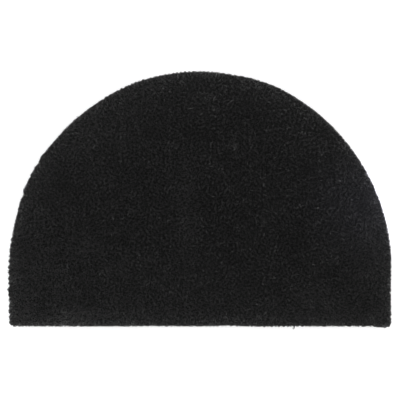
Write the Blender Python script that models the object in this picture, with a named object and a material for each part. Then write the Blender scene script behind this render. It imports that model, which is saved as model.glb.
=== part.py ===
"""Half-moon coir doormat: one cut piece of coir pile set in a soft vinyl backing.

Frame: metres, +Z up. The origin is the middle of the underside, +X runs along the straight front
edge and the arch is towards +Y. The outline is worked out with y counted from the front edge, and
then centred.
"""

import math

import bmesh
import bpy
import numpy as np
from mathutils import Vector, noise
from mathutils.geometry import delaunay_2d_cdt

# Driving sizes, in metres
WIDTH = 0.600
DEPTH = 0.400
THICKNESS = 0.015
SIDE_LENGTH = 0.092  # the sides run straight for this far before the arch springs from them
CORNER_RADIUS = 0.0055
ARCH_RISE = DEPTH - SIDE_LENGTH

# The pile's top rises and falls by this much in all, over patches of this size
TOP_SWELL = 0.0008
TOP_PATCH = 0.055

# The cut edge from the floor up: height as a share of the thickness, and how far it stands in from
# the pile's widest reach, in mm. The knife leaves the vinyl upright, and the fibres above it lean
# out and round over at their tips.
EDGE_PROFILE = (
    # height, inset
    (0.00, 2.8),
    (0.15, 2.6),
    (0.40, 1.0),
    (0.70, 0.0),
    (0.87, 0.7),
    (0.95, 2.6),
)

# Where the cut outline wanders off its plain form: the stretch it is on, the place along that
# stretch, how far it reaches out there, and how far to each side that dies away, all in mm.
# Places run counter-clockwise: front from the left, right upwards, arch from the right, left down.
WANDER = (
    # stretch, place, reach, spread
    ("front", 118, 0.3, 25),
    ("front", 220, -0.4, 25),
    ("front", 338, -0.7, 22),
    ("front", 396, 0.4, 22),
    ("front", 584, 2.4, 12),
    ("front right corner", 0, 1.7, 6),
    ("right", 48, -0.5, 20),
    ("arch", 30, 0.5, 35),
    ("arch", 200, -0.8, 85),
    ("arch", 360, 1.1, 36),
    ("arch", 434, -1.0, 26),
    ("arch", 580, 0.8, 15),
    ("arch", 660, -0.9, 32),
    ("arch", 732, -0.5, 14),
    ("arch", 797, 1.4, 36),
    ("arch", 888, -1.3, 28),
    ("arch", 958, 0.9, 14),
    ("left", 5, 1.1, 12),
    ("left", 36, 1.0, 12),
    ("left", 66, -0.6, 18),
    ("front left corner", 4, -1.2, 8),
)

# How finely the solid follows that form, in metres
RIM_STEP = 0.008
CORNER_STEP = 0.0025
TOP_STEP = 0.024

COIR_COLOUR = (0.014, 0.014, 0.0145, 1.0)
COIR_ROUGHNESS = 0.9


def straight(start, end):
    """Even points from start up to, but not including, end: points, outward normals, distances."""
    start, end = np.array(start), np.array(end)
    length = np.linalg.norm(end - start)
    along = np.arange(round(length / RIM_STEP)) * RIM_STEP
    tangent = (end - start) / length
    normals = np.tile((tangent[1], -tangent[0]), (len(along), 1))
    return start + along[:, None] * tangent, normals, along


def curve(centre, radii, start_angle, end_angle, step):
    """The same for an elliptic arc, with its even steps found on a fine run of its angles."""
    fine = np.radians(np.linspace(start_angle, end_angle, 4000))
    runs = np.hypot(np.diff(radii[0] * np.cos(fine)), np.diff(radii[1] * np.sin(fine)))
    length_to = np.concatenate([[0.0], np.cumsum(runs)])
    count = round(length_to[-1] / step)
    along = np.arange(count) / count * length_to[-1]
    angle = np.interp(along, length_to, fine)
    spoke = np.stack([np.cos(angle), np.sin(angle)], axis=1)
    normals = spoke / radii
    normals /= np.linalg.norm(normals, axis=1, keepdims=True)
    return centre + spoke * radii, normals, along


def wander(stretch, along):
    """How far the outline stands off its plain form: a sum of bell curves, one for each table row."""
    reach_out = np.zeros_like(along)
    for name, place, reach, spread in WANDER:
        if name == stretch:
            reach_out += reach / 1000 * np.exp(-(((along * 1000 - place) / spread) ** 2))
    return reach_out


def rim():
    """The mat's outline, counter-clockwise from its front left corner, and its outward normals."""
    half, corner = WIDTH / 2, CORNER_RADIUS
    right_centre, left_centre = (half - corner, corner), (corner - half, corner)
    corner_radii = (corner, corner)
    stretches = {
        "front": straight((corner - half, 0), (half - corner, 0)),
        "front right corner": curve(right_centre, corner_radii, -90, 0, CORNER_STEP),
        "right": straight((half, corner), (half, SIDE_LENGTH)),
        "arch": curve((0, SIDE_LENGTH), (half, ARCH_RISE), 0, 180, RIM_STEP),
        "left": straight((-half, SIDE_LENGTH), (-half, corner)),
        "front left corner": curve(left_centre, corner_radii, 180, 270, CORNER_STEP),
    }
    points = [p + n * wander(name, along)[:, None] for name, (p, n, along) in stretches.items()]
    normals = [n for _, n, _ in stretches.values()]
    return np.concatenate(points), np.concatenate(normals)


def add_edge(bm, points, normals):
    """Rings of the edge profile carried round the outline and joined by quads, with the flat
    underside closing the lowest. Returns the top ring."""
    rings = []
    for height, inset in EDGE_PROFILE:
        ring = points - normals * inset / 1000
        rings.append([bm.verts.new((x, y, height * THICKNESS)) for x, y in ring])
    for lower, upper in zip(rings, rings[1:]):
        for k in range(len(lower)):
            after = (k + 1) % len(lower)
            bm.faces.new((lower[k], lower[after], upper[after], upper[k]))
    bm.faces.new(reversed(rings[0]))
    return rings[-1]


def well_inside(x, y):
    """Whether a point lies inside the plain outline, clear of it by half a step of the top's field."""
    clear = TOP_STEP / 2
    across = x / (WIDTH / 2 - clear)
    above_spring = max(0.0, y - SIDE_LENGTH) / (ARCH_RISE - clear)
    return y > clear and across**2 + above_spring**2 < 1


def top_height(x, y):
    """The pile's slow rise and fall, which stays under the full thickness."""
    return THICKNESS - TOP_SWELL / 2 * (1 - noise.noise(Vector((x, y, 0)) / TOP_PATCH))


def add_top(bm, ring):
    """The pile's top: a net of triangles over the top ring and an even field of points inside it."""
    field = [
        (x, y)
        for y in np.arange(0, DEPTH, TOP_STEP)
        for x in np.arange(-WIDTH / 2, WIDTH / 2, TOP_STEP)
        if well_inside(x, y)
    ]
    corners = ring + [bm.verts.new((x, y, top_height(x, y))) for x, y in field]
    flat = [Vector(v.co.xy) for v in corners]
    loop = tuple(range(len(ring)))
    _, _, faces, origins, _, _ = delaunay_2d_cdt(flat, [], [loop], 1, 1e-6)
    for face in faces:
        bm.faces.new([corners[origins[k][0]] for k in face])


def coir_material():
    """Coconut fibre dyed black: dark and matt."""
    material = bpy.data.materials.new("black_coir")
    material.use_nodes = True
    shader = material.node_tree.nodes["Principled BSDF"]
    shader.inputs["Base Color"].default_value = COIR_COLOUR
    shader.inputs["Roughness"].default_value = COIR_ROUGHNESS
    shader.inputs["Metallic"].default_value = 0.0
    return material


def coir_mat():
    """The whole mat as one closed solid, flat underneath, with its box centred on the origin."""
    points, normals = rim()
    bm = bmesh.new()
    add_top(bm, add_edge(bm, points, normals))
    middle = (points.min(axis=0) + points.max(axis=0)) / 2
    bmesh.ops.translate(bm, verts=bm.verts, vec=(-middle[0], -middle[1], 0))
    mesh = bpy.data.meshes.new("coir_mat")
    bm.to_mesh(mesh)
    bm.free()
    mesh.shade_smooth()
    mesh.set_sharp_from_angle(angle=math.radians(50))
    mesh.materials.append(coir_material())
    return bpy.data.objects.new("coir_mat", mesh)


def main():
    for old in list(bpy.data.objects):
        bpy.data.objects.remove(old, do_unlink=True)
    doormat = bpy.data.collections.new("half_moon_doormat")
    bpy.context.scene.collection.children.link(doormat)
    doormat.objects.link(coir_mat())


main()
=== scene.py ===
# %% [markdown]
# # A half-moon coir doormat
#
# Coir is the coarse fibre of coconut husk. For this kind of mat the fibres are dyed, stood on end in
# a bed of liquid vinyl, and the vinyl is baked until it sets. The sheet is then shorn level and cut
# to its half-moon with one blade, so there is no border: the cut edge shows the thin vinyl below and
# a fringe of fibres leaning out above it.
#
# The lesson builds the mat in the order it is made: the backing, the matted bed that the fibres
# stand in, the many thousands of fibres of the pile, the fringe at the cut edge, and last a few loose
# fibres on top.

import math

import bpy
import numpy as np
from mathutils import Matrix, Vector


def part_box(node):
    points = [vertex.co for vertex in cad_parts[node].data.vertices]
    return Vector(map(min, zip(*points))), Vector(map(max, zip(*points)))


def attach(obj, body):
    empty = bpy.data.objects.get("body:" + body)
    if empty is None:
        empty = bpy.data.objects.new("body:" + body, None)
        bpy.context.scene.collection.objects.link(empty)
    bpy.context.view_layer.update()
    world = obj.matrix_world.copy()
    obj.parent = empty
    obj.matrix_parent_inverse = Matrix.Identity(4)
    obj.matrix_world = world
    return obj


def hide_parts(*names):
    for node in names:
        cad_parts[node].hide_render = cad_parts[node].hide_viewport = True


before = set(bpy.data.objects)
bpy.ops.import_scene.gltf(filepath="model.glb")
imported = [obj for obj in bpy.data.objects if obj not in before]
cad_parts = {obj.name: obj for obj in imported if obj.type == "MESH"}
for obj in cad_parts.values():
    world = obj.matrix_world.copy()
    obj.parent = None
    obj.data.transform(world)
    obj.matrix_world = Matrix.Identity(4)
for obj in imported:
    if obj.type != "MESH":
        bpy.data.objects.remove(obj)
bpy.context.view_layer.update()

# %% [markdown]
# ## Sizes
#
# Everything is worked out in millimetres from a few real sizes and turned to metres when a mesh is
# made. Coir fibres are 0.1 to 0.5 mm thick. A mat may have three hundred thousand of them, so each
# one drawn here stands for two or three that cling together.

# %% Driving sizes, in mm
MM = 0.001
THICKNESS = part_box("coir_mat")[1][2] / MM
BACKING = 2.2
BED_TOP = 8.0
FIBRE_RADIUS = 0.27
# How unevenly thick the fibres are, as the spread of the radius's logarithm.
FIBRE_UNEVEN = 0.22
PILE_FIBRES = 96_000
PILE_STRIPS = 5
FRINGE_FIBRES = 13_500
PILE_SEED = 20240611
FRINGE_SEED = 20240612
LOOSE_SEED = 20240613
print("thickness", round(THICKNESS, 2), "mm")

# %% [markdown]
# ## The outline
#
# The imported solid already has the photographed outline, with the places where the blade wandered, so
# the outline is read from it: the ring of corners where the fibres reach furthest out. Seen from the
# middle of the mat each direction meets the outline once, so the ring can be sorted by its angle and
# looked up by angle afterwards.

# %% Read the widest ring of the solid
# The solid is widest at seven tenths of its plain height.
PLAIN_HEIGHT = 15.0
WIDEST_HEIGHT = 0.70 * PLAIN_HEIGHT
RING_SLACK = 0.01
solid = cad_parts["coir_mat"].data
corners = np.empty(len(solid.vertices) * 3, np.float32)
solid.vertices.foreach_get("co", corners)
corners = corners.reshape(-1, 3).astype(float) / MM
ring = corners[np.abs(corners[:, 2] - WIDEST_HEIGHT) < RING_SLACK][:, :2]
ring = np.unique(ring.round(3), axis=0)
ring = ring[np.argsort(np.arctan2(ring[:, 1], ring[:, 0]))]
print("outline corners", len(ring))


# %% Even points and normals
OUTLINE_STEP = 1.0


def closed_run(points, step):
    """Even points round a closed outline: straight steps along its sides, by length."""
    loop = np.vstack([points, points[:1]])
    length = np.concatenate([[0], np.cumsum(np.linalg.norm(np.diff(loop, axis=0), axis=1))])
    at = np.linspace(0, length[-1], round(length[-1] / step), endpoint=False)
    return np.stack([np.interp(at, length, loop[:, k]) for k in (0, 1)], axis=1)


def outward(points, reach):
    """Normals of a closed outline: the way between the points that lie `reach` places before and
    after, turned a quarter."""
    along = np.roll(points, -reach, axis=0) - np.roll(points, reach, axis=0)
    along /= np.linalg.norm(along, axis=1, keepdims=True)
    return np.stack([along[:, 1], -along[:, 0]], axis=1)


plain = closed_run(ring, OUTLINE_STEP)
normals = outward(plain, reach=2)
following = np.roll(plain, -1, axis=0)
perimeter = np.linalg.norm(following - plain, axis=1).sum()
plan_area = 0.5 * abs(np.sum(plain[:, 0] * following[:, 1] - following[:, 0] * plain[:, 1]))
print("perimeter", round(perimeter), "mm, plan area", round(plan_area), "square mm")

# %% [markdown]
# ## Where the blade juddered
#
# Down the left side the blade jumped as it cut, and left a fine saw-tooth. It is a wave of straight flanks
# with one pitch, and a slower, shallower wave makes some of its teeth bigger. The teeth could be set one by
# one, but a formula is shorter and can be changed. A few single snags, here, on the arch and at the front,
# stand on top of them. Their places and sizes were rounded from measurements of the photographed edge. All
# this is too fine for the solid, and bed, pile and fringe follow it alike, because one blade cut them all.

# %% Judder and snags
# The judder's two waves: pitch and depth, in mm. Both have a tooth at the same height on the page.
JUDDERS = ((8.7, 1.0), (16.0, 0.35))
JUDDER_TOOTH = -62.9
JUDDER_ENDS = (-196, -56)
SNAGS = (
    # middle x and y, how far the edge stands out there, and over what reach to each side
    (-299, -197, 0.8, 3.0),
    (-300, -143, 2.3, 2.6),
    (-300, -135, -1.0, 2.2),
    (-300, -162, -0.9, 2.2),
    (-300, -173, 0.8, 6.0),
    (-300, -101, -0.7, 2.5),
    (-289, -22, -0.8, 7.0),
    (-279, 7, -1.9, 4.2),
    (-275, 17, 1.5, 4.6),
    (-255, 58, -1.4, 4.6),
    (-249, 67, 1.3, 4.6),
    (-150, 159, 0.6, 3.0),
    (153, -199, -0.6, 1.8),
)


def juddered(points):
    """Whether points of the outline are on the stretch of the left side where the blade juddered."""
    x, y = points.T
    return (x < 0) & (y > JUDDER_ENDS[0]) & (y < JUDDER_ENDS[1])


def wander(points):
    """How far the edge stands out at points of the outline. Each wave of the judder goes up and down
    evenly with the height on the page, one tooth for each pitch, and each snag dies away as exp of
    minus the square of the distance over its reach."""
    x, y = points.T
    out = np.zeros(len(points))
    for pitch, depth in JUDDERS:
        wave = np.arcsin(np.cos(2 * math.pi * (y - JUDDER_TOOTH) / pitch)) * 2 / math.pi
        out += depth * wave * juddered(points)
    for snag_x, snag_y, stands_out, spread in SNAGS:
        out += stands_out * np.exp(-((x - snag_x) ** 2 + (y - snag_y) ** 2) / spread**2)
    return out


outline = plain + normals * wander(plain)[:, None]
print("edge stands out by", wander(plain).min().round(2), "to", wander(plain).max().round(2), "mm")

# %% Depth inside the outline
angles = np.arctan2(outline[:, 1], outline[:, 0])
reaches = np.hypot(outline[:, 0], outline[:, 1])


def by_angle(values, points):
    """Values held at the outline's points, read off in the direction of other points."""
    angle = np.arctan2(points[:, 1], points[:, 0])
    return np.interp(angle, angles, values, period=2 * math.pi)


def depth_inside(points):
    """How far points lie inside the outline: the way left along the ray from the middle, times the
    cosine between that ray and the outline's normal there. Negative outside."""
    angle = np.arctan2(points[:, 1], points[:, 0])
    slant = by_angle(normals[:, 0], points) * np.cos(angle) + by_angle(normals[:, 1], points) * np.sin(angle)
    return (by_angle(reaches, points) - np.linalg.norm(points, axis=1)) * slant


print("the middle lies", depth_inside(np.array([[0.0, 1.0]])).round()[0], "mm inside the arch")

# %% [markdown]
# ## Painted rim light, and wear
#
# The mat is painted palest at its cut edge and darker over the first few centimetres: painted light,
# standing in for the glow of the bright white surround on the dark rim. Two falling curves together follow
# that: one that is level over the first few millimetres and then drops, for the edge itself, and a long one
# for the broad pale rim.

# %% Painted rim light towards the cut edge
# Rows are how much paler, over how many mm, and the power that levels the start of the fall.
RIM_LIGHT_SHADES = ((0.150, 8.5, 2), (0.215, 42.0, 1))


def rim_light_shade(depth):
    """How much paler the fibres are painted near the cut edge, as painted rim light: each row's amount times
    exp of minus the power of the depth over its mm."""
    inside = np.maximum(depth, 0)
    return sum(amount * np.exp(-((inside / fade) ** power)) for amount, fade, power in RIM_LIGHT_SHADES)


print("paler by", rim_light_shade(np.array([0.0, 10.0, 50.0])).round(2), "at 0, 10 and 50 mm")

# %% [markdown]
# Feet leave broader patches. A painted map could hold them, but a short list of soft-edged patches can be
# read and changed, and each patch can act on the fibres' shape as well as on their shade. A few rows are
# painted light instead: a paler rim at the top of the arch and at the front corners, and the lamp's sheen
# carried further up the right rim. The rows were chosen while comparing with the photograph.

# %% Patches of wear and painted light
WEAR_AND_LIGHT = (
    # middle x and y, half width in x and y, how much paler
    (-17, -22, 17, 92, 0.160),
    (13, -22, 11, 90, -0.080),
    (-165, -196, 150, 27, 0.085),
    # Painted rim light at the front left corner.
    (-283, -188, 24, 26, 0.130),
    (-245, -132, 52, 62, 0.062),
    (-190, -110, 85, 42, 0.050),
    (-128, 58, 62, 92, 0.050),
    (-100, 150, 55, 35, 0.040),
    (-45, 42, 24, 38, 0.045),
    (58, -46, 68, 96, -0.060),
    (193, 42, 52, 94, -0.078),
    (165, -172, 45, 30, -0.030),
    (32, 135, 74, 38, -0.050),
    # Painted rim light along the top of the arch.
    (0, 203, 45, 10, 0.090),
    # Painted sheen: the lamp's sheen carried further up the right rim.
    (247, 82, 20, 48, 0.090),
    # Painted rim light at the front right corner.
    (286, -193, 24, 18, 0.110),
    (250, -122, 34, 72, 0.030),
    (89.4, 182, 2.6, 2.6, 0.35),
)


def wear_and_light_shade(points):
    """Paler and darker patches of wear and of painted light, one for each row: full in the middle, and dying
    away round the half widths as exp of minus the fourth power."""
    x, y = points.T
    return sum(
        amount * np.exp(-(((x - mx) / wx) ** 4) - ((y - my) / wy) ** 4) for mx, my, wx, wy, amount in WEAR_AND_LIGHT
    )


print("worn patches", len(WEAR_AND_LIGHT))

# %% [markdown]
# ## Small helpers
#
# One makes a mesh object from whole arrays. The others turn a hex colour to linear light, add a shader
# node with its settings and links, and start an empty material.

# %% Mesh helper


def new_piece(name, points, faces, uv=None):
    """A mesh object from points in mm and lists of equal-sided faces, with an optional UV map that
    holds one place for each face corner."""
    mesh = bpy.data.meshes.new(name)
    sides = np.concatenate([np.full(len(f), f.shape[1]) for f in faces])
    loops = np.concatenate([f.ravel() for f in faces])
    mesh.vertices.add(len(points))
    mesh.loops.add(len(loops))
    mesh.polygons.add(len(sides))
    mesh.vertices.foreach_set("co", (points * MM).astype(np.float32).ravel())
    mesh.loops.foreach_set("vertex_index", loops.astype(np.int32))
    starts = np.concatenate([[0], np.cumsum(sides)[:-1]])
    mesh.polygons.foreach_set("loop_start", starts.astype(np.int32))
    if uv is not None:
        layer = mesh.uv_layers.new(name="OFBake")
        layer.uv.foreach_set("vector", uv.astype(np.float32).ravel())
    mesh.update(calc_edges=True)
    mesh.validate()
    piece = bpy.data.objects.new(name, mesh)
    bpy.context.scene.collection.objects.link(piece)
    return piece


# %% Colour and node helpers


def linear(hex_colour):
    """An sRGB hex colour as linear red, green, blue and alpha, by the standard curve: straight for the
    darkest values and a power of 2.4 above them."""
    values = [int(hex_colour[k : k + 2], 16) / 255 for k in (1, 3, 5)]
    return [v / 12.92 if v <= 0.04045 else ((v + 0.055) / 1.055) ** 2.4 for v in values] + [1.0]


def add_node(tree, kind, inputs=(), **settings):
    """Adds a node, sets its settings, and fills its inputs with values or with other sockets."""
    node = tree.nodes.new(kind)
    for name, value in settings.items():
        setattr(node, name, value)
    for name, value in dict(inputs).items():
        if isinstance(value, bpy.types.NodeSocket):
            tree.links.new(value, node.inputs[name])
        else:
            node.inputs[name].default_value = value
    return node


def new_material(name):
    """An empty node material, and the tree to build in."""
    material = bpy.data.materials.new(name)
    material.use_nodes = True
    material.node_tree.nodes.clear()
    return material, material.node_tree


# %% [markdown]
# ## The coir's finish
#
# Husk fibre is brown, and black dye takes on it unevenly: most fibres come out a matt black, a few a dark
# grey. It is waxy rather than shiny, so the highlight is broad and weak. Each fibre's map place holds its
# own shade across and the way along the fibre upwards, so one pattern colours all of them, and the foot of
# each fibre is painted darker than its tip: painted shade, for the shade down in the pile.

# %% Dyed coir material
SHADES = ((0.0, "#1f1f1f"), (0.45, "#383838"), (0.8, "#585858"), (1.0, "#7d7d7d"))
# The foot's share of the fibre's colour: painted shade, darker at the foot down in the pile.
FOOT_SHADOW_SHARE = 0.32
coir, tree = new_material("dyed_coconut_fibre")
place = add_node(tree, "ShaderNodeUVMap", uv_map="OFBake")
split = add_node(tree, "ShaderNodeSeparateXYZ", {"Vector": place.outputs["UV"]})
shade = add_node(tree, "ShaderNodeValToRGB", {"Fac": split.outputs["X"]})
while len(shade.color_ramp.elements) < len(SHADES):
    shade.color_ramp.elements.new(0.5)
for stop, (where, colour) in zip(shade.color_ramp.elements, SHADES):
    stop.position, stop.color = where, linear(colour)
foot_shadow = add_node(
    tree,
    "ShaderNodeMapRange",
    {"Value": split.outputs["Y"], "To Min": FOOT_SHADOW_SHARE},
    interpolation_type="SMOOTHSTEP",
)
colour = add_node(
    tree,
    "ShaderNodeVectorMath",
    {0: shade.outputs["Color"], "Scale": foot_shadow.outputs["Result"]},
    operation="SCALE",
)
surface = add_node(
    tree,
    "ShaderNodeBsdfPrincipled",
    {"Base Color": colour.outputs["Vector"], "Roughness": 0.7, "IOR": 1.5, "Specular IOR Level": 0.2},
)
add_node(tree, "ShaderNodeOutputMaterial", {"Surface": surface.outputs["BSDF"]})
print("coir shades", len(SHADES))

# %% [markdown]
# ## The vinyl's finish
#
# The backing is soft black PVC that has set on a moving belt. That leaves a fine, even grain and a dull
# sheen. The grain is about a tenth of a millimetre high, far too low to model, so a bump gives it.

# %% Vinyl backing material
VINYL_GRAIN = 0.7
VINYL_GRAIN_HEIGHT = 0.1
vinyl, tree = new_material("soft_black_vinyl")
here = add_node(tree, "ShaderNodeTexCoord")
grain = add_node(
    tree,
    "ShaderNodeTexNoise",
    {"Vector": here.outputs["Object"], "Scale": 1 / (VINYL_GRAIN * MM), "Detail": 3.0},
)
bump = add_node(
    tree,
    "ShaderNodeBump",
    {"Height": grain.outputs["Fac"], "Strength": 0.4, "Distance": VINYL_GRAIN_HEIGHT * MM},
)
surface = add_node(
    tree,
    "ShaderNodeBsdfPrincipled",
    {"Base Color": linear("#171718"), "Roughness": 0.5, "IOR": 1.52, "Normal": bump.outputs["Normal"]},
)
add_node(tree, "ShaderNodeOutputMaterial", {"Surface": surface.outputs["BSDF"]})
print("vinyl grain", VINYL_GRAIN, "mm")

# %% [markdown]
# ## The bed's finish
#
# Between the tips the eye falls on a dark tangle of the fibres' lower parts. It is too deep to show single
# fibres, so one slab stands for it, tinted by noise about as wide as a few fibres. Its tints are darker than
# the fibres' own colour: painted shade, for the depth of the pile. An attribute on its points holds the
# painted rim light there, and makes the tangle paler with the fibres above it.

# %% Matted bed material
MAT_GRAIN = 1.6
# Painted shade: the tangle's tints are darker than the dyed fibres, for the shade deep in the pile.
MAT_SHADED_TINTS = ((0.3, "#0a0a0a"), (0.75, "#1c1c1c"))
# How strongly the painted rim light pales the bed.
BED_RIM_LIGHT = 5.0
matted, tree = new_material("matted_coir")
here = add_node(tree, "ShaderNodeTexCoord")
grain = add_node(
    tree,
    "ShaderNodeTexNoise",
    {"Vector": here.outputs["Object"], "Scale": 1 / (MAT_GRAIN * MM), "Detail": 4.0},
)
tint = add_node(tree, "ShaderNodeValToRGB", {"Fac": grain.outputs["Fac"]})
for stop, (where, colour) in zip(tint.color_ramp.elements, MAT_SHADED_TINTS):
    stop.position, stop.color = where, linear(colour)
# The rim attribute holds the painted rim light.
rim = add_node(tree, "ShaderNodeAttribute", attribute_name="rim")
worn = add_node(
    tree,
    "ShaderNodeMath",
    {0: rim.outputs["Fac"], 1: BED_RIM_LIGHT, 2: 1.0},
    operation="MULTIPLY_ADD",
)
colour = add_node(
    tree,
    "ShaderNodeVectorMath",
    {0: tint.outputs["Color"], "Scale": worn.outputs["Value"]},
    operation="SCALE",
)
surface = add_node(
    tree,
    "ShaderNodeBsdfPrincipled",
    {"Base Color": colour.outputs["Vector"], "Roughness": 0.9, "Specular IOR Level": 0.1},
)
add_node(tree, "ShaderNodeOutputMaterial", {"Surface": surface.outputs["BSDF"]})
print("mat grain", MAT_GRAIN, "mm")

# %% [markdown]
# ## Backing and bed
#
# Both are low slabs with the mat's outline. An outline pulled straight up would make them, but here a
# profile of heights and insets is carried round the outline, which rounds the backing's edges and lets
# the bed's side lean out. Rings that shrink to the middle close the flat top and underside.

# %% Slab helper


def slab(name, profile, finish, rings=(0.5,)):
    """A closed slab over every second point of the outline: the outline set in by each profile row's
    inset at its height, from the lowest row up. It is closed underneath by one ring half way in and a
    middle point, and on top by rings at the given shares of the way out and a middle point."""
    rim, way = outline[::2], normals[::2]
    around = len(rim)
    sides = [np.column_stack([rim - way * inset, np.full(around, z)]) for z, inset in profile]
    under_lids = [sides[0] * (0.5, 0.5, 1)]
    over_lids = [sides[-1] * (s, s, 1) for s in rings]
    loops = under_lids + sides + over_lids
    points = np.vstack([[[0, 0, profile[0][0]]], *loops, [[0, 0, profile[-1][0]]]])
    first = 1 + np.arange(len(loops) - 1)[:, None] * around
    k, after = np.arange(around), (np.arange(around) + 1) % around
    quads = np.stack([first + k, first + after, first + after + around, first + k + around], axis=2)
    last = 1 + (len(loops) - 1) * around
    under = np.stack([np.zeros(around, int), 1 + after, 1 + k], axis=1)
    over = np.stack([last + k, last + after, np.full(around, len(points) - 1)], axis=1)
    piece = new_piece(name, points, [quads.reshape(-1, 4), under, over])
    piece.data.materials.append(finish)
    return piece


# %% Backing and bed
# Rows are height and inset, in mm, from the underside up. The bed starts a little way down in the vinyl. Its
# side leans out behind the fringe, and its top has rings close together near the edge, to hold the painted
# rim light there.
VINYL_SINK = 0.3
BACKING_PROFILE = ((0.0, 1.9), (0.2, 1.7), (BACKING - 0.2, 1.6), (BACKING, 1.8))
BED_PROFILE = ((BACKING - VINYL_SINK, 2.2), (5.0, 1.4), (6.8, 0.7), (BED_TOP, 0.3), (BED_TOP + 0.8, 0.9))
BED_RINGS = (0.98, 0.95, 0.90, 0.80, 0.65, 0.40)
backing = slab("vinyl_backing", BACKING_PROFILE, vinyl)
bed = slab("coir_bed", BED_PROFILE, matted, BED_RINGS)
bed_points = np.empty(len(bed.data.vertices) * 3, np.float32)
bed.data.vertices.foreach_get("co", bed_points)
bed_depth = depth_inside(bed_points.reshape(-1, 3)[:, :2].astype(float) / MM)
# The bed's rim attribute is painted rim light, paler near the cut edge.
bed_rim_light = bed.data.attributes.new("rim", "FLOAT", "POINT")
bed_rim_light.data.foreach_set("value", rim_light_shade(bed_depth).astype(np.float32))
print("backing and bed", len(backing.data.polygons), len(bed.data.polygons), "faces")

# %% [markdown]
# ## Fibres
#
# A fibre is a three-sided stem with a shorn tip. Hair curves would be quicker to lay out, but a mesh
# can be exported and has a true cut end. All the fibres of a piece are worked out at once: the stem's
# stations are one array, and the corners of its sections another.

# %% Fibre helper
# Half a fibre's width across the map, where its sides start on the map's height and how much of it they
# take, and the heights of the corners of its two ends.
SHADE_STRIP = 0.006
SIDES_FROM = 0.03
SIDES_SHARE = 0.92
FOOT_CORNERS = (0.0, 0.0, 0.02)
TIP_CORNERS = (0.96, 0.96, 1.0)
# The least upward share of a stem's direction that the levelling of its tip allows for.
LEAST_RISE = 0.5


def fibres(name, stations, radius, shades):
    """Three-sided stems through their stations, n by k by 3 in mm. The corners of each section stand
    at thirds of a turn across the stem's direction, and the last section is slid along the stem so
    that it lies level, as the shears leave it. The map holds the shade across and the height up."""
    count, steps = stations.shape[:2]
    way = stations[:, -1] - stations[:, -2]
    way /= np.linalg.norm(way, axis=1, keepdims=True)
    turn = rng.uniform(0, 2 * math.pi, count)
    across = np.stack([np.cos(turn), np.sin(turn), np.zeros(count)], axis=1)
    across -= way * np.sum(across * way, axis=1, keepdims=True)
    across /= np.linalg.norm(across, axis=1, keepdims=True)
    beside = np.cross(way, across)
    third = np.arange(3)[:, None] * 2 * math.pi / 3
    spoke = across[:, None] * np.cos(third) + beside[:, None] * np.sin(third)
    corners = stations[:, :, None] + spoke[:, None] * radius[:, :, None, None]
    lift = corners[:, -1, :, 2] - stations[:, -1, 2][:, None]
    corners[:, -1] -= way[:, None] * (lift / np.maximum(way[:, 2], LEAST_RISE)[:, None])[:, :, None]

    start = np.arange(count)[:, None, None] * steps * 3
    first = start + np.arange(steps - 1)[:, None] * 3
    side, after = np.arange(3), (np.arange(3) + 1) % 3
    quads = np.stack([first + side, first + after, first + after + 3, first + side + 3], axis=3)
    foot = start[:, 0] + np.array([0, 2, 1])
    tip = start[:, 0] + (steps - 1) * 3 + np.array([0, 1, 2])

    left, right = shades - SHADE_STRIP, shades + SHADE_STRIP
    low = SIDES_FROM + SIDES_SHARE * np.arange(steps - 1) / (steps - 1)
    high = low + SIDES_SHARE / (steps - 1)
    quad_uv = np.empty((count, steps - 1, 3, 4, 2))
    quad_uv[..., 0] = np.stack([left, right, right, left], axis=1)[:, None, None]
    quad_uv[..., 1] = np.stack([low, low, high, high], axis=1)[None, :, None]
    cap_uv = np.empty((2, count, 3, 2))
    cap_uv[..., 0] = np.stack([left, right, right], axis=1)
    cap_uv[0, ..., 1], cap_uv[1, ..., 1] = FOOT_CORNERS, TIP_CORNERS
    uv = np.concatenate([quad_uv.reshape(-1, 2), cap_uv.reshape(-1, 2)])
    piece = new_piece(name, corners.reshape(-1, 3), [quads.reshape(-1, 4), foot, tip], uv)
    piece.data.materials.append(coir)
    return piece


def fit_shades(shades):
    """Shades kept clear of the map's ends by a strip's width."""
    return np.clip(shades, 2 * SHADE_STRIP, 1 - 2 * SHADE_STRIP)


# %% Random fields


def ripples(points, shortest, longest, waves=48, across=0.0, square=0.0):
    """A smooth random field of unit size, and its slope for each mm: plane waves of random direction
    and phase, with wavelengths in mm between the two given and evenly many for each patch of the
    frequency plane. A wave's power is 1 plus `across` times the cosine of twice its direction, so
    that waves that run from side to side can be stronger. Each direction is turned back by `square`,
    from 0 to 1, times a quarter of the sine of four times itself, which gathers the directions near
    those of the mat's width and depth."""
    turns = 2 * math.pi * np.sqrt(rng.uniform(longest**-2, shortest**-2, waves))
    angle, phase = rng.uniform(0, 2 * math.pi, (2, waves))
    angle -= square * np.sin(4 * angle) / 4
    wave = turns * np.stack([np.cos(angle), np.sin(angle)])
    run = points @ wave + phase
    size = np.sqrt(2 / waves * (1 + across * np.cos(2 * angle)))
    return np.sin(run) @ size, (np.cos(run) * size) @ wave.T


# %% [markdown]
# ## The pile
#
# The pile is fibre stood on end, packed so close that from above only the tips show. Roots thrown
# wholly at random would leave bare spots, and a regular grid would show its rows. So the mat is cut
# into small squares, with one root somewhere in each.

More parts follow.
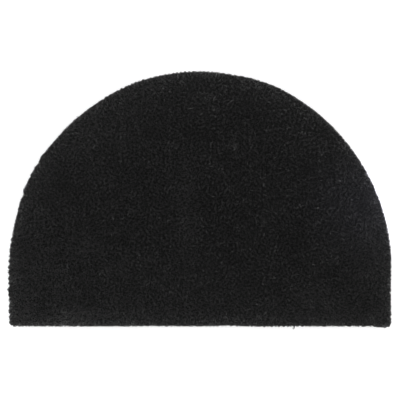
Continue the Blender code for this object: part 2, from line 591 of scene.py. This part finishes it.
# %% Roots
# The pile ends this far inside the outline, and the fringe takes over.
PILE_DEPTH = 4.2
rng = np.random.default_rng(PILE_SEED)
spacing = math.sqrt((plan_area - perimeter * PILE_DEPTH) / PILE_FIBRES)
reach = np.abs(plain).max(axis=0) + 2 * spacing
squares = np.ceil(2 * reach / spacing).astype(int)
square = np.stack(np.meshgrid(*[np.arange(n) for n in squares], indexing="ij"), axis=2).reshape(-1, 2)
roots = (square + rng.random(square.shape)) * spacing - reach
roots = roots[depth_inside(roots) > PILE_DEPTH]
count = len(roots)
depth = depth_inside(roots)
out = np.stack([by_angle(normals[:, k], roots) for k in (0, 1)], axis=1)
print("pile fibres", count, "spacing", round(spacing, 2), "mm")

# %% [markdown]
# Coir clings together: the tips gather into short winding ridges with dark gaps between, 5 to 8 mm from
# one ridge to the next and a little stronger from side to side. On the ridges the tips stand higher and
# catch more light. Gaps could be cut out of an even pile, but pulling the tips up the slope of a random
# field makes ridges and gaps at once. Finer than that, little clumps lean and stand each in their own
# way, and a few of them have taken the dye badly and are pale.

# %% Ridges and clumps
RIDGE_SPAN = (5.1, 7.7)
RIDGE_WAVES = 90
RIDGE_ACROSS = 0.35
RIDGE_LEVELS = (-1.1, 2.2)
CLUMP = 2.8
CLUMP_STRAY = 0.25
CLUMP_RISE = 0.27
CLUMP_SHADE = 0.066
CLUMP_LEAN = 0.20
PALE_SHARE = 0.04
PALE_SHADE = 0.26
ridge, slope = ripples(roots, *RIDGE_SPAN, waves=RIDGE_WAVES, across=RIDGE_ACROSS)
ridge = np.clip(ridge, *RIDGE_LEVELS)
stray = CLUMP_STRAY * CLUMP * rng.normal(0, 1, roots.shape)
clump_at = np.floor((roots + reach + stray) / CLUMP).astype(int)
clumps = clump_at.max(axis=0) + 1
clump_at = clump_at[:, 0] * clumps[1] + clump_at[:, 1]
clump_height = rng.normal(0, CLUMP_RISE, clumps.prod())[clump_at]
clump_pale = PALE_SHADE * (rng.random(clumps.prod()) < PALE_SHARE)
clump_shade = (rng.normal(0, CLUMP_SHADE, clumps.prod()) + clump_pale)[clump_at]
clump_lean = rng.normal(0, CLUMP_LEAN, (clumps.prod(), 2))[clump_at]
print("clumps", clumps.prod())

# %% [markdown]
# The gathering is calmer towards the mat's left and right ends and its front, and under the paler patches of
# wear and of painted light. There the fibres bend over, each its own way, and close the gaps. A darker patch
# is gathered more.

# %% How gathered and how bent the pile is
END_CALM = 0.55
END_REACH = 40.0
FRONT_CALM = 0.30
FRONT_REACH = 40.0
PATCH_CALM = 2.8
PATCH_BEND = 1.6
# Over how many mm from the cut edge its own effects fade.
EDGE_FADE = 6.0
near_edge = np.exp(-depth / EDGE_FADE)
from_end = np.abs(plain[:, 0]).max() - np.abs(roots[:, 0])
from_front = roots[:, 1] - plain[:, 1].min()
gathered = 1 - END_CALM * np.exp(-from_end / END_REACH)
gathered *= 1 - FRONT_CALM * np.exp(-from_front / FRONT_REACH)
gathered *= np.maximum(1 - PATCH_CALM * wear_and_light_shade(roots), 0)
bent = 1 + PATCH_BEND * (1 - gathered) * (1 - near_edge)
print("gathered", gathered.min().round(2), "to", gathered.max().round(2))

# %% [markdown]
# A fibre's lean is its clump's and its own, with a slow nap over the whole mat. Near the cut edge it
# turns outwards, because nothing holds the fibres there. The top is shorn level but for a slow swell,
# the ridges and the clumps, and each tip ends a little below it.

# %% How the fibres lean and stand
OWN_LEAN = 0.20
NAP_LEAN = 0.12
NAP_SPAN = (90, 240)
OUT_LEAN = 0.35
TOP_DROP = 0.9
SWELL = 0.25
SWELL_SPAN = (80, 200)
SWELL_LEVELS = (-2, 1.5)
RIDGE_RISE = 0.34
RIDGE_PULL = 1.0
CLUMP_LEVELS = (-1, 0.5)
TIP_UNEVEN = 0.35
ROOT_SINK = 0.6
PILE_TAPER = (1.0, 0.8)
lean = gathered[:, None] * clump_lean + bent[:, None] * rng.normal(0, OWN_LEAN, roots.shape)
lean += NAP_LEAN * np.stack([ripples(roots, *NAP_SPAN)[0], ripples(roots, *NAP_SPAN)[0]], axis=1)
lean += OUT_LEAN * out * near_edge[:, None]
top = THICKNESS - TOP_DROP + SWELL * np.clip(ripples(roots, *SWELL_SPAN)[0], *SWELL_LEVELS)
top += gathered * (RIDGE_RISE * ridge + np.clip(clump_height, *CLUMP_LEVELS))
tip_z = np.minimum(top - gathered * np.abs(rng.normal(0, TIP_UNEVEN, count)), THICKNESS)
foot_z = np.full(count, BED_TOP - ROOT_SINK)
tips = roots + lean * (tip_z - foot_z)[:, None]
tips += RIDGE_PULL * gathered[:, None] * slope / slope.std()
stations = np.stack([np.column_stack([roots, foot_z]), np.column_stack([tips, tip_z])], axis=1)
radius = FIBRE_RADIUS * rng.lognormal(0, FIBRE_UNEVEN, (count, 1)) * PILE_TAPER
print("tips from", tip_z.min().round(1), "to", tip_z.max().round(1), "mm high")

# %% [markdown]
# The shade is darkest in the middle of the mat. Broad mottling lies mostly along its width and depth. The
# ridges are painted paler and their gaps darker, as painted light and shade, and they and the pale clumps
# stand out more in some places than in others. The painted rim light and the patches of wear and painted
# light come on top. The pile is split into strips, to keep each mesh small.

# %% Pile shades and pieces
MIDDLE_SHADE = 0.285
OWN_SHADE = 0.055
# Rows are the shortest and longest wave, in mm, and how much paler.
MOTTLES = ((8, 26, 0.056), (26, 60, 0.032), (55, 100, 0.030))
MOTTLE_SQUARE = 0.85
TREAD_SPAN = (14, 45)
TREAD_DEPTH = 0.26
TREAD_LEVELS = (0.3, 1.9)
# Painted light and shade: ridge tips painted paler and the gaps between them darker.
RIDGE_PAINTED_LIGHT = 0.165
RIM_GRAIN = 0.8
shades = MIDDLE_SHADE + rng.normal(0, OWN_SHADE, count)
shades += sum(amount * ripples(roots, low, high, square=MOTTLE_SQUARE)[0] for low, high, amount in MOTTLES)
tread = np.clip(1 + TREAD_DEPTH * ripples(roots, *TREAD_SPAN)[0], *TREAD_LEVELS)
tread *= gathered + RIM_GRAIN * near_edge
shades += tread * (RIDGE_PAINTED_LIGHT * ridge + clump_shade)
# The rim term adds painted rim light. The patches add wear, and in a few rows painted light.
shades = fit_shades(shades + rim_light_shade(depth) + wear_and_light_shade(roots))
strip = np.argsort(np.argsort(roots[:, 0])) * PILE_STRIPS // count
pile = [
    fibres(f"coir_pile_{n + 1}", stations[strip == n], radius[strip == n], shades[strip == n])
    for n in range(PILE_STRIPS)
]
print("pile strips", len(pile), "mean shade", shades.mean().round(3))

# %% [markdown]
# ## The fringe at the cut edge
#
# At the edge the whole height of the fibres shows, from the vinyl up. The pile's fibres could be leant
# out over it, but they start near the bed's top, so the edge has fibres of its own. They stand up from
# the vinyl, most of them crowded at the very edge, then bow outwards, and the blade has cut their tips
# to a soft shoulder. At the corners the fringe fans out, so its direction is taken over a longer reach
# of the outline than the outline's own normals.

# %% Places round the rim
fan = outward(plain, reach=8)
fan /= np.sum(fan * normals, axis=1, keepdims=True)
looped = np.arange(len(outline) + 1) * perimeter / len(outline)


def rim_place(along, inset, z):
    """Points at distances along the outline, set in from it along the fan, at a height."""
    held = np.hstack([outline, fan])
    held = np.vstack([held, held[:1]])
    at = np.stack([np.interp(along % perimeter, looped, held[:, k]) for k in range(4)], axis=1)
    return np.column_stack([at[:, :2] - at[:, 2:] * inset[:, None], z])


def each(spread, groups):
    """A normal draw for each group, handed to its members."""
    return rng.normal(0, spread, groups.max() + 1)[groups]


def nibbles(along, shortest, longest, waves=60):
    """Lobes and notches along the rim, from -1 to 1: sines of random phase, with pitches in mm between
    the two given and evenly many for each step of frequency, and then levelled to even heights."""
    turns = 2 * math.pi * rng.uniform(1 / longest, 1 / shortest, waves)
    phase = rng.uniform(0, 2 * math.pi, waves)
    return np.tanh(math.sqrt(4 / waves) * np.sin(along[:, None] * turns + phase).sum(axis=1))


print("fan reaches up to", np.linalg.norm(fan, axis=1).max().round(2), "times the inset")

# %% [markdown]
# Neighbours cling together here too, in scallops and in smaller tufts, and nibble the rim into small
# lobes 5 to 14 mm long. The nibbles are deepest on the upper left of the arch and on the right half of
# the front, and shallowest between those.

# %% How the fringe sways and bows
SCALLOP = 7.5
TUFT = 2.4
# How far in mm a fibre may stray to a neighbouring group, and the shifts that keep every group's number
# from falling below nought.
SCALLOP_STRAY = 1.2
TUFT_STRAY = 0.5
TIP_STRAY = 0.6
ROOT_SHIFT = 2
TIP_SHIFT = 8
SCALLOP_SWAY = 0.9
TUFT_SWAY = 0.6
OWN_SWAY = 0.5
SCALLOP_BOW = 0.10
TUFT_BOW = 0.10
OWN_BOW = 0.05
NIBBLE_SPAN = (4.4, 14.0)
NIBBLE_REACH = 0.60
NIBBLE_SWING = 0.50
NIBBLE_DEEPEST = 115
JUDDER_CALM = 0.7
rng = np.random.default_rng(FRINGE_SEED)
count = FRINGE_FIBRES
along = (np.arange(count) + rng.random(count)) / count * perimeter
scallop = ((along + rng.uniform(-SCALLOP_STRAY, SCALLOP_STRAY, count) + ROOT_SHIFT) / SCALLOP).astype(int)
tuft = ((along + rng.uniform(-TUFT_STRAY, TUFT_STRAY, count) + ROOT_SHIFT) / TUFT).astype(int)
sideways = each(SCALLOP_SWAY, scallop) + each(TUFT_SWAY, tuft) + rng.normal(0, OWN_SWAY, count)
tip_along = along + sideways
tip_scallop = ((tip_along + rng.uniform(-TIP_STRAY, TIP_STRAY, count) + TIP_SHIFT) / SCALLOP).astype(int)
tip_tuft = ((tip_along + TIP_SHIFT) / TUFT).astype(int)
bow = each(SCALLOP_BOW, tip_scallop) + each(TUFT_BOW, tip_tuft) + rng.normal(0, OWN_BOW, count)
on_rim = rim_place(tip_along, np.zeros(count), np.zeros(count))[:, :2]
way_round = np.arctan2(on_rim[:, 1], on_rim[:, 0])
swing = 1 + NIBBLE_SWING * np.cos(2 * (way_round - math.radians(NIBBLE_DEEPEST)))
bow += NIBBLE_REACH * swing * nibbles(tip_along, *NIBBLE_SPAN)
bow *= np.where(juddered(on_rim), JUDDER_CALM, 1)
print("fringe bows out by", bow.min().round(2), "to", bow.max().round(2), "mm")

# %% Fringe fibres
# The shoulder's rows are how far a tip is set in, in mm, and how high it may stand there.
SHOULDER = ((-2.5, 9.0), (0.0, 11.6), (0.7, 13.2), (2.6, 14.1), (6.0, 14.4))
FRINGE_ROOT = 2.0
FRINGE_DEEP = 4.6
FRINGE_CROWD = 4
FRINGE_REACH = 0.92
TIP_SPREAD = 1.15
TIP_DROP = 0.5
TUFT_RISE = 0.35
TUFT_LEVELS = (-0.8, 0.3)
# The knee's shares of the way from root to tip: inwards, sideways and upwards.
KNEE_IN = 0.55
KNEE_SIDE = 0.35
KNEE_UP = 0.5
FRINGE_TAPER = (1.0, 1.0, 0.9)
FRINGE_SHADE = 0.26
SCALLOP_SHADE = 0.09
TUFT_SHADE = 0.17
root_inset = FRINGE_ROOT + FRINGE_DEEP * rng.random(count) ** FRINGE_CROWD
tip_inset = TIP_SPREAD * (root_inset - FRINGE_ROOT) - FRINGE_REACH - bow
tip_z = np.interp(tip_inset, *zip(*SHOULDER)) - np.abs(rng.normal(0, TIP_DROP, count))
tip_z += np.clip(each(TUFT_RISE, tuft), *TUFT_LEVELS)
foot_z = np.full(count, BACKING - VINYL_SINK)
knee_inset = root_inset + KNEE_IN * (tip_inset - root_inset)
stations = np.stack(
    [
        rim_place(along, root_inset, foot_z),
        rim_place(along + KNEE_SIDE * sideways, knee_inset, foot_z + KNEE_UP * (tip_z - foot_z)),
        rim_place(tip_along, tip_inset, tip_z),
    ],
    axis=1,
)
radius = FIBRE_RADIUS * rng.lognormal(0, FIBRE_UNEVEN, (count, 1)) * FRINGE_TAPER
shades = FRINGE_SHADE + each(SCALLOP_SHADE, scallop) + each(TUFT_SHADE, tuft)
shades += rng.normal(0, OWN_SHADE, count)
# The fringe takes the painted rim light too, and the patches of wear and painted light.
shades = fit_shades(shades + rim_light_shade(root_inset) + wear_and_light_shade(on_rim))
fringe = fibres("coir_fringe", stations, radius, shades)
print("fringe fibres", count)

# %% [markdown]
# ## Loose fibres
#
# A few pale fibres have come out of the bed and lie on the pile. Each is a shallow bow between two
# ends, resting on the tips. The two that the photograph shows best are given, the rest are strewn.
# A small dark wisp of fibres has worked out over the front edge too.

# %% Fibres lying on the pile
LOOSE_STATIONS = 7
# A row is middle x and y, length, direction in degrees, bow to one side, and shade. The wisp's fibres
# vary round its one row by its spread.
LOOSE = ((5, -33, 11, 126, 0.6, 1.0), (-180, -86, 30, 22, 2.2, 0.45))
WISP = (148.2, -199.6, 8.5, 76, 0.0, 0.25)
WISP_SPREAD = (0.55, 0.35, 0.6, 5.0, 0.3, 0.05)
WISP_FIBRES = 9
STREWN = 26
STREWN_DEPTH = 14
STREWN_LENGTH = (4, 9)
STREWN_BOW = 0.6
# The middle and the spread of the strewn fibres' shades.
STREWN_SHADE = (0.64, 0.12)
rng = np.random.default_rng(LOOSE_SEED)
wisp = np.array(WISP) + WISP_SPREAD * rng.normal(0, 1, (WISP_FIBRES, len(WISP)))
strewn = np.column_stack(
    [
        roots[rng.choice(len(roots), STREWN, replace=False)],
        rng.uniform(*STREWN_LENGTH, STREWN),
        rng.uniform(0, 180, STREWN),
        rng.normal(0, STREWN_BOW, STREWN),
        rng.normal(*STREWN_SHADE, STREWN),
    ]
)
loose = np.vstack([LOOSE, wisp, strewn[depth_inside(strewn[:, :2]) > STREWN_DEPTH]])
print("loose fibres", len(loose))

# %% Loose piece
# How far below the mat's top a loose fibre lies, how much it rises and falls, its radius, how unevenly
# thick the fibres are, and twice the share of the radius that is gone at each end.
LOOSE_SINK = 0.12
LOOSE_WAVE = 0.1
LOOSE_RADIUS = 0.22
LOOSE_UNEVEN = 0.2
LOOSE_TAPER = 0.5
along = np.linspace(-0.5, 0.5, LOOSE_STATIONS)
turn = np.radians(loose[:, 3])[:, None]
ahead = loose[:, 2:3] * along
aside = loose[:, 4:5] * (1 - 4 * along**2)
wave = np.cos(2 * math.pi * (along + rng.random((len(loose), 1))))
stations = np.stack(
    [
        loose[:, 0:1] + ahead * np.cos(turn) - aside * np.sin(turn),
        loose[:, 1:2] + ahead * np.sin(turn) + aside * np.cos(turn),
        THICKNESS - LOOSE_SINK + LOOSE_WAVE * wave,
    ],
    axis=2,
)
radius = LOOSE_RADIUS * rng.lognormal(0, LOOSE_UNEVEN, (len(loose), 1)) * (1 - LOOSE_TAPER * np.abs(along))
strays = fibres("coir_loose", stations, radius, fit_shades(loose[:, 5]))
print("loose piece", len(strays.data.polygons), "faces")

# %% [markdown]
# ## What each piece is
#
# The mat is one sheet. The backing and what stands on it all go with one body. The floor that it rests on is
# made here, and gets its face in the studio.

# %% Bodies
coir_pieces = [bed, fringe, strays, *pile]
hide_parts("coir_mat")
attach(backing, "root")
for piece in coir_pieces:
    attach(piece, "root")
floor_mesh = bpy.data.meshes.new("floor")
floor = bpy.data.objects.new("floor", floor_mesh)
bpy.context.scene.collection.objects.link(floor)

# %% [markdown]
# ## The studio
#
# A copy stand: the camera looks straight down, soft panels stand round the mat at a slant, and both
# the floor and the surround are white and bright, so that no shadow shows beside the mat. One big lamp
# would be simpler, but four panels let each side of the mat have its own brightness: the one behind
# the arch is the strongest and the one before the front edge the weakest. A narrow, slightly blue
# light adds the soft sheen that the photograph has on the right.

# %% Floor
FLOOR_HALF = 6000.0
FLOOR_DROP = 0.3
floor_points = np.array([(-1, -1, 0), (1, -1, 0), (1, 1, 0), (-1, 1, 0)]) * FLOOR_HALF - (0, 0, FLOOR_DROP)
floor_mesh.from_pydata((floor_points * MM).tolist(), [], [(0, 1, 2, 3)])
paper, tree = new_material("white_paper")
surface = add_node(
    tree,
    "ShaderNodeBsdfPrincipled",
    {
        "Base Color": linear("#f4f4f4"),
        "Roughness": 0.9,
        "Specular IOR Level": 0.1,
        "Emission Color": (1, 1, 1, 1),
        "Emission Strength": 0.18,
    },
)
add_node(tree, "ShaderNodeOutputMaterial", {"Surface": surface.outputs["BSDF"]})
floor_mesh.materials.append(paper)
print("floor", 2 * FLOOR_HALF * MM, "m wide")

# %% Camera
# The photograph is square, and the mat's plain outline is this wide in it.
PHOTO_SIDE_PX = 400
MAT_WIDTH_PX = 381.2
MAT_WIDTH = 600.0
VIEW_SIDE = PHOTO_SIDE_PX * MAT_WIDTH / MAT_WIDTH_PX
LOOKS_AT = (0.35, -0.63)
CAMERA_HEIGHT = 1300.0
camera = bpy.data.objects.new("camera", bpy.data.cameras.new("camera"))
camera.data.lens = camera.data.sensor_width * (CAMERA_HEIGHT - WIDEST_HEIGHT) / VIEW_SIDE
camera.location = (LOOKS_AT[0] * MM, LOOKS_AT[1] * MM, CAMERA_HEIGHT * MM)
bpy.context.scene.collection.objects.link(camera)
bpy.context.scene.camera = camera
print("lens", round(camera.data.lens, 1), "mm")

# %% Panels
PANELS = (
    # towards x, towards y, height and side in metres, watts
    (1.6, 0.0, 1.5, 1.3, 6.0),
    (-1.6, 0.0, 1.5, 1.3, 6.0),
    (0.0, 1.6, 1.5, 1.3, 8.0),
    (0.0, -1.6, 1.5, 1.3, 4.0),
)
for n, (x, y, z, side, watts) in enumerate(PANELS):
    light = bpy.data.lights.new(f"panel_{n + 1}", "AREA")
    light.shape, light.size, light.energy = "SQUARE", side, watts
    panel = bpy.data.objects.new(f"panel_{n + 1}", light)
    panel.location = (x, y, z)
    panel.rotation_euler = (0, math.atan2(math.hypot(x, y), z), math.atan2(y, x))
    bpy.context.scene.collection.objects.link(panel)
print("panels", len(PANELS))

# %% Sheen and surround
# Where the sheen lies, the way from there to its light in metres, and the light's watts, tint, radius in
# metres and width in degrees.
SHEEN_AT = np.array((266.0, -8.0, THICKNESS)) * MM
SHEEN_FROM = np.array((0.50, -0.05, 0.85))
SHEEN_WATTS = 36.0
SHEEN_TINT = (0.74, 0.74, 1.0)
SHEEN_RADIUS = 0.05
SHEEN_WIDTH = 9.5
spot = bpy.data.lights.new("window_sheen", "SPOT")
spot.energy, spot.color, spot.shadow_soft_size = SHEEN_WATTS, SHEEN_TINT, SHEEN_RADIUS
spot.spot_size, spot.spot_blend = math.radians(SHEEN_WIDTH), 1.0
sheen = bpy.data.objects.new("window_sheen", spot)
sheen.location = SHEEN_AT + SHEEN_FROM
sheen.rotation_euler = (
    0,
    math.atan2(math.hypot(SHEEN_FROM[0], SHEEN_FROM[1]), SHEEN_FROM[2]),
    math.atan2(SHEEN_FROM[1], SHEEN_FROM[0]),
)
bpy.context.scene.collection.objects.link(sheen)
world = bpy.data.worlds.new("studio")
world.use_nodes = True
world.node_tree.nodes["Background"].inputs["Color"].default_value = (1, 1, 1, 1)
world.node_tree.nodes["Background"].inputs["Strength"].default_value = 1.0
bpy.context.scene.world = world
bpy.context.scene.view_settings.view_transform = "Standard"
print("sheen at", SHEEN_AT.round(3), "m")
